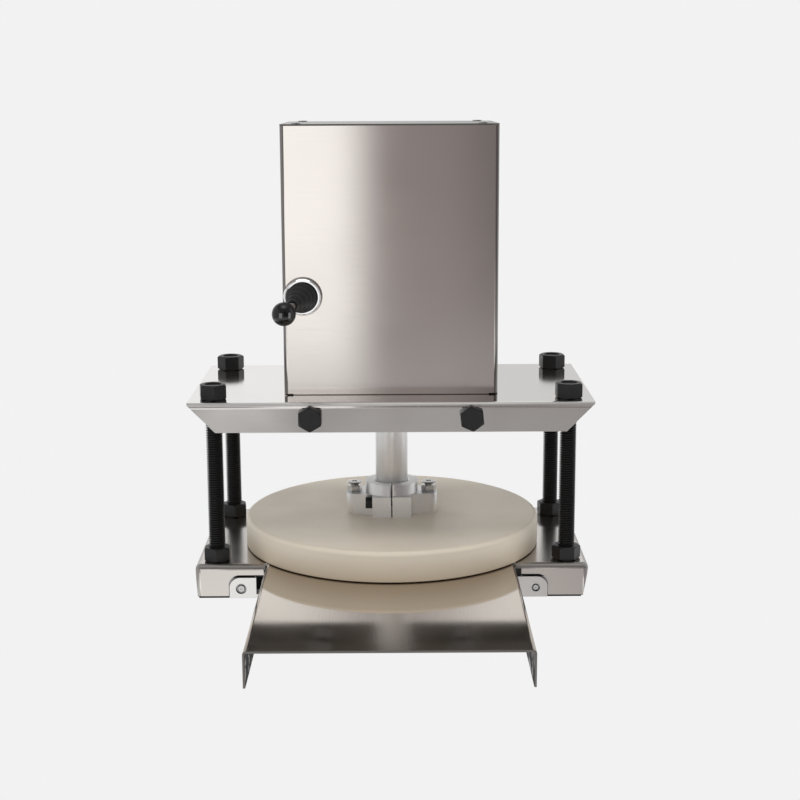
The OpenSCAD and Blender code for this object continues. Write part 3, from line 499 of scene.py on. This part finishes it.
# Nodes that look different from the rest of their slot
LOOKS_OF_NODES = {
    "base_shell": base_sheet(),
    "dough_tray": tray_sheet(),
    "plate_columns": PAINTED_SHADE_STEEL,
    "column_nuts": PAINTED_SHADE_STEEL,
    "joystick_lever": turned_metal("lever_steel", (0.42, 0.42, 0.42), 0.26, stain=0.3),
}
ROD_LOOK = black_oxide("rod_black", 0.006, 0.50)

# Edge rounding of the CAD nodes, by material slot
EDGE_OF_SLOT = {
    "stainless_polished": 0.3 * MM,
    "stainless_satin": 0.25 * MM,
    "stainless_dull": 0.25 * MM,
    "black_oxide_steel": 0.35 * MM,
    "mild_steel": 0.4 * MM,
    "aluminium_plate": 0.4 * MM,
    "stainless_fasteners": 0.18 * MM,
    "chrome_trim": 0.25 * MM,
}
EDGE_OTHERWISE = 0.2 * MM
EDGE_ANGLE = math.radians(35)
# The many holes of this sheet leave thin triangles that would crease under a bevel
UNROUNDED = {"rear_cover"}


def slot_of(node):
    return next(part["material_slot"] for part in frame["record"]["subparts"] if part["node"] == node)


def look_of(node):
    return LOOKS_OF_NODES.get(node, LOOKS[slot_of(node)])


def dress_cad_nodes():
    """Gives each CAD node its material and softly rounded edges."""
    for name, piece in frame["nodes"].items():
        piece.data.materials.clear()
        piece.data.materials.append(look_of(name))
        weld = piece.modifiers.new("weld", "WELD")
        weld.merge_threshold = 0.001 * MM
        if name in UNROUNDED:
            continue
        bevel = piece.modifiers.new("edges", "BEVEL")
        bevel.width = EDGE_OF_SLOT.get(slot_of(name), EDGE_OTHERWISE)
        bevel.segments = 2
        bevel.limit_method = "ANGLE"
        bevel.angle_limit = EDGE_ANGLE
        bevel.harden_normals = True


# ---------- pieces ----------

def threaded_rod(node):
    low, high = corners(node)
    mesh_edit = bmesh.new()
    crest = (high.x - low.x) / 2 - 0.03 * MM
    thread(mesh_edit, (low + high) / 2, low.z, high.z, crest, ROD_THREAD, ROD_CHAMFER)
    rod = new_piece(node + "_threaded", mesh_edit, ROD_LOOK, degrees=20)
    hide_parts(node)


def joystick_boot():
    """A stepped rubber bellows from the bezel to the lever."""
    pivot = Vector(joint("joystick_tilt")["pos_m"])
    lean = (middle("joystick_knob") - pivot).normalized()
    panel = corners("housing_shell")[0].y
    out = Vector((0, -1, 0))
    base = Vector((pivot.x, panel - 2.3 * MM, pivot.z))
    tip = pivot + lean * BOOT_LENGTH
    low, high = corners("joystick_bezel")
    widest = (high.x - low.x) / 2 - 3 * MM

    # (share of the way to the tip, radius) down the outside of the steps
    outline = []
    for step in range(BOOT_STEPS):
        start = step / BOOT_STEPS
        end = (step + 1) / BOOT_STEPS
        radius = widest + (BOOT_TIP_RADIUS - widest) * step / (BOOT_STEPS - 1)
        outline += [(start + 0.02, radius - 0.6 * MM), (start + 0.06, radius), (end - 0.08, radius),
                    (end - 0.045, radius - 0.15 * MM), (end - 0.025, radius - 0.5 * MM),
                    (end - 0.02, radius - 1.2 * MM)]
    inside = [(share, max(radius - BOOT_WALL, BOOT_BORE_RADIUS)) for share, radius in reversed(outline)]
    mesh_edit = bmesh.new()
    rings = []
    for share, radius in outline + inside:
        centre = base.lerp(tip, share)
        axis = out.lerp(lean, share).normalized()
        across = axis.cross(UP).normalized()
        along = axis.cross(across)
        turns = [2 * math.pi * k / BOOT_SIDES for k in range(BOOT_SIDES)]
        rings.append([mesh_edit.verts.new(centre + radius * (across * math.cos(t) + along * math.sin(t)))
                      for t in turns])
    for first, second in zip(rings, rings[1:] + rings[:1]):
        bridge(mesh_edit, first, second)
    boot = new_piece("joystick_bellows", mesh_edit, look_of("joystick_boot"), degrees=60, body=None)
    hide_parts("joystick_boot")
    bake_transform(boot)


# ---------- floor, light and camera ----------

def emission(name, strength):
    material = bpy.data.materials.new(name)
    material.use_nodes = True
    nodes = material.node_tree.nodes
    nodes.clear()
    shader = nodes.new("ShaderNodeEmission")
    shader.inputs["Color"].default_value = (1, 1, 1, 1)
    shader.inputs["Strength"].default_value = strength
    output = nodes.new("ShaderNodeOutputMaterial")
    material.node_tree.links.new(shader.outputs[0], output.inputs[0])
    return material


def flat_ground(name, at, half_size, strength):
    """A level sheet that gives off an even light and isn't seen in reflections."""
    mesh_edit = bmesh.new()
    bmesh.ops.create_grid(mesh_edit, x_segments=1, y_segments=1, size=1)
    mesh = bpy.data.meshes.new(name)
    mesh_edit.to_mesh(mesh)
    mesh_edit.free()
    mesh.materials.append(emission(name, strength))
    ground = bpy.data.objects.new(name, mesh)
    ground.location = at
    ground.scale = (*half_size, 1)
    ground.visible_glossy = False
    bpy.context.scene.collection.objects.link(ground)


def floor():
    """White all round, and a painted shadow where the base covers it."""
    flat_ground("floor_white", (0, 0, -0.10 * MM), (6, 6), BACKGROUND)
    low, high = corners("base_shell")
    painted_shadow_half = (high - low) / 2 - Vector((6, 2, 0)) * MM
    # Painted shadow: a nearly black sheet just above the floor, under the base.
    flat_ground("floor_painted_shadow", (*middle("base_shell").xy, -0.04 * MM), painted_shadow_half.xy, 0.004)


def area_light(name, at, target, size, power):
    """A lamp that lights surfaces and isn't seen, neither directly nor in reflections."""
    light = bpy.data.lights.new(name, "AREA")
    light.shape = "RECTANGLE"
    light.size, light.size_y = size
    light.energy = power
    lamp = bpy.data.objects.new(name, light)
    lamp.location = at
    lamp.rotation_euler = (Vector(target) - Vector(at)).to_track_quat("-Z", "Y").to_euler()
    lamp.visible_camera = False
    lamp.visible_glossy = False
    bpy.context.scene.collection.objects.link(lamp)
    return lamp


def window_for(name, node, to_right, up, size, power):
    """A window that only one node reflects, 1 m away from it. Angles are in degrees from the front."""
    right, up = math.radians(to_right), math.radians(up)
    ahead = Vector((math.sin(right) * math.cos(up), -math.cos(right) * math.cos(up), math.sin(up)))
    lamp = area_light(name, middle(node) + ahead, middle(node), size, power)
    lamp.visible_glossy = True
    receivers = bpy.data.collections.new(name + "_receivers")
    receivers.objects.link(frame["nodes"][node])
    lamp.light_linking.receiver_collection = receivers


class Room(NodeTree):
    """The surroundings, as seen in reflections. Angles are in degrees, to the right and up."""

    def __init__(self):
        world = bpy.data.worlds.new("studio")
        bpy.context.scene.world = world
        world.use_nodes = True
        super().__init__(world.node_tree)
        self.tree.nodes.clear()
        way = self.node("TexCoord").outputs["Generated"]
        x, y, z = self.node("SeparateXYZ", {0: way}).outputs
        self.up = self.degrees(self.math("ARCSINE", z, 0))
        self.front = self.degrees(self.math("ARCTAN2", x, self.math("MULTIPLY", y, -1)))
        self.back = self.degrees(self.math("ARCTAN2", x, y))
        self.color = (0, 0, 0, 1)

    def degrees(self, angle):
        return self.math("MULTIPLY", angle, 180 / math.pi)

    def bands(self, stops):
        """Bands of colour by height. stops are (degrees above the horizon, brightness, warmth)."""
        share = self.node("MapRange", {"Value": self.up, "From Min": -90, "From Max": 90}).outputs[0]
        ramp = self.node("ValToRGB", {0: share})
        points = ramp.color_ramp.elements
        while len(points) < len(stops):
            points.new(0.5)
        for point, (degrees, level, warmth) in zip(points, stops):
            point.position = (degrees + 90) / 180
            point.color = (level, level * (1 - warmth), level * (1 - warmth), 1)
        return ramp.outputs[0]

    def mix(self, share, first, second):
        return self.node("Mix", {0: share, 6: first, 7: second}, data_type="RGBA").outputs[2]

    def sweep(self, value, start, end):
        return self.node("MapRange", {"Value": value, "From Min": start, "From Max": end},
                        interpolation_type="SMOOTHSTEP").outputs[0]

    def patch(self, around, left, right, low, high, level, warmth=0.0):
        """Lays a soft-edged patch over what is there. Each edge is a pair: where it starts and is full."""
        masks = [self.sweep(around, *left), self.sweep(around, *right),
                 self.sweep(self.up, *low), self.sweep(self.up, *high)]
        mask = masks[0]
        for other in masks[1:]:
            mask = self.math("MULTIPLY", mask, other)
        color = (level, level * (1 - warmth), level * (1 - warmth), 1)
        self.color = self.mix(mask, self.color, color)

    def finish(self, soft):
        """Reflections show the surroundings, soft light comes from the soft bands, the camera sees white."""
        ray = self.node("LightPath").outputs
        color = self.mix(ray["Is Glossy Ray"], soft, self.color)
        color = self.mix(ray["Is Camera Ray"], color, (BACKGROUND, BACKGROUND, BACKGROUND, 1))
        shader = self.node("Background", {"Color": color})
        output = self.node("OutputWorld")
        self.tree.links.new(shader.outputs[0], output.inputs[0])


def room():
    studio = Room()
    front, back = studio.front, studio.back
    studio.color = studio.bands([(-90, 0.15, 0.0), (-56, 0.2, 0.0), (-46, 1.2, 0.0), (-27, 1.2, 0.0),
                                 (-22, 0.42, 0.04), (-11, 0.29, 0.09), (-2, 0.25, 0.11), (12, 0.27, 0.08),
                                 (25, 0.32, 0.04), (58, 0.34, 0.0), (70, 0.75, 0.0), (90, 0.75, 0.0)])
    # In front, to the left: a bright wall above a darker band, and a bright floor
    studio.patch(front, (-19, -12), (-0.3, -2.3), (-11.3, -10.2), (13, 10), 1.12)
    studio.patch(front, (-60, -40), (7, -4), (-26, -24), (-14.5, -16), 0.90)
    studio.patch(front, (-30, -12), (13, 5), (-15.5, -14), (-10.2, -11.3), 0.37, 0.03)
    # In front, to the right: it darkens away from the middle
    studio.patch(front, (1.5, 5), (44, 34), (-10, -6), (40, 25), 0.14, 0.1)
    # Gray walls at both sides
    studio.patch(front, (-190, -180), (-40, -50), (-24, -16), (50, 35), 0.65)
    studio.patch(front, (76, 80), (190, 180), (-24, -16), (50, 35), 0.75)
    # Behind: a white sheet, brighter on the left, with its top edge just above the press
    studio.patch(back, (-50, -35), (50, 35), (-25, -12), (15.5, 13.5), 0.68, 0.01)
    studio.patch(back, (-50, -35), (3, -3), (-25, -12), (15.5, 13.5), 0.94, 0.005)
    studio.patch(back, (-30, -20), (30, 20), (15.5, 16.5), (24, 22), 1.05)
    studio.patch(back, (-4, -1), (4, 1), (15.5, 16.5), (24, 22), 0.4, 0.05)
    soft = studio.bands([(-90, 0.4, 0.0), (-10, 0.6, 0.0), (5, 0.9, 0.0),
                         (30, 0.9, 0.0), (60, 0.5, 0.0), (90, 0.5, 0.0)])
    studio.finish(soft)
    # Highlights that the surroundings can't give without lighting up every sheet
    window_for("window_left", "joystick_knob", -28, -7, (0.48, 0.85), 4.5)
    window_for("window_right", "joystick_knob", 61, -7, (0.42, 0.85), 3.9)
    window_for("window_above", "joystick_knob", 0, 80, (0.5, 0.5), 0.8)
    window_for("window_of_bezel", "joystick_bezel", 0, 70, (0.9, 0.9), 3.2)
    window_for("window_of_ram", "ram_shaft", 6, -14, (0.22, 0.5), 0.9)


def camera():
    data = bpy.data.cameras.new("camera")
    data.lens = CAMERA_LENS
    data.sensor_width = 36
    ahead = Vector((math.sin(CAMERA_RIGHT) * math.cos(CAMERA_DOWN),
                    math.cos(CAMERA_RIGHT) * math.cos(CAMERA_DOWN), -math.sin(CAMERA_DOWN)))
    level = ahead.cross(UP).normalized()
    above = level.cross(ahead)
    right = level * math.cos(CAMERA_ROLL) + above * math.sin(CAMERA_ROLL)
    top = right.cross(ahead)
    viewer = bpy.data.objects.new("camera", data)
    viewer.matrix_world = Matrix.Translation(CAMERA_AT) @ Matrix((right, top, -ahead)).transposed().to_4x4()
    bpy.context.scene.collection.objects.link(viewer)
    bpy.context.scene.camera = viewer


dress_cad_nodes()
for corner in ("front_left", "front_right", "rear_left", "rear_right"):
    threaded_rod("tie_rod_" + corner)
joystick_boot()

floor()
room()
area_light("key_left", (-0.6, -1.4, 0.9), (0, 0, 0.1), (0.9, 0.9), 4)
area_light("softbox_above", (0.1, 0.1, 1.6), (0, 0.05, 0.1), (1.2, 1.0), 8)
area_light("fill_front", (0.1, -1.6, 0.4), (0, 0, 0.1), (1.0, 0.8), 6)
area_light("low_behind", (-0.55, 1.2, 0.36), (0, 0.08, 0.05), (1.0, 0.3), 10)
camera()
bpy.context.scene.view_settings.view_transform = "Standard"
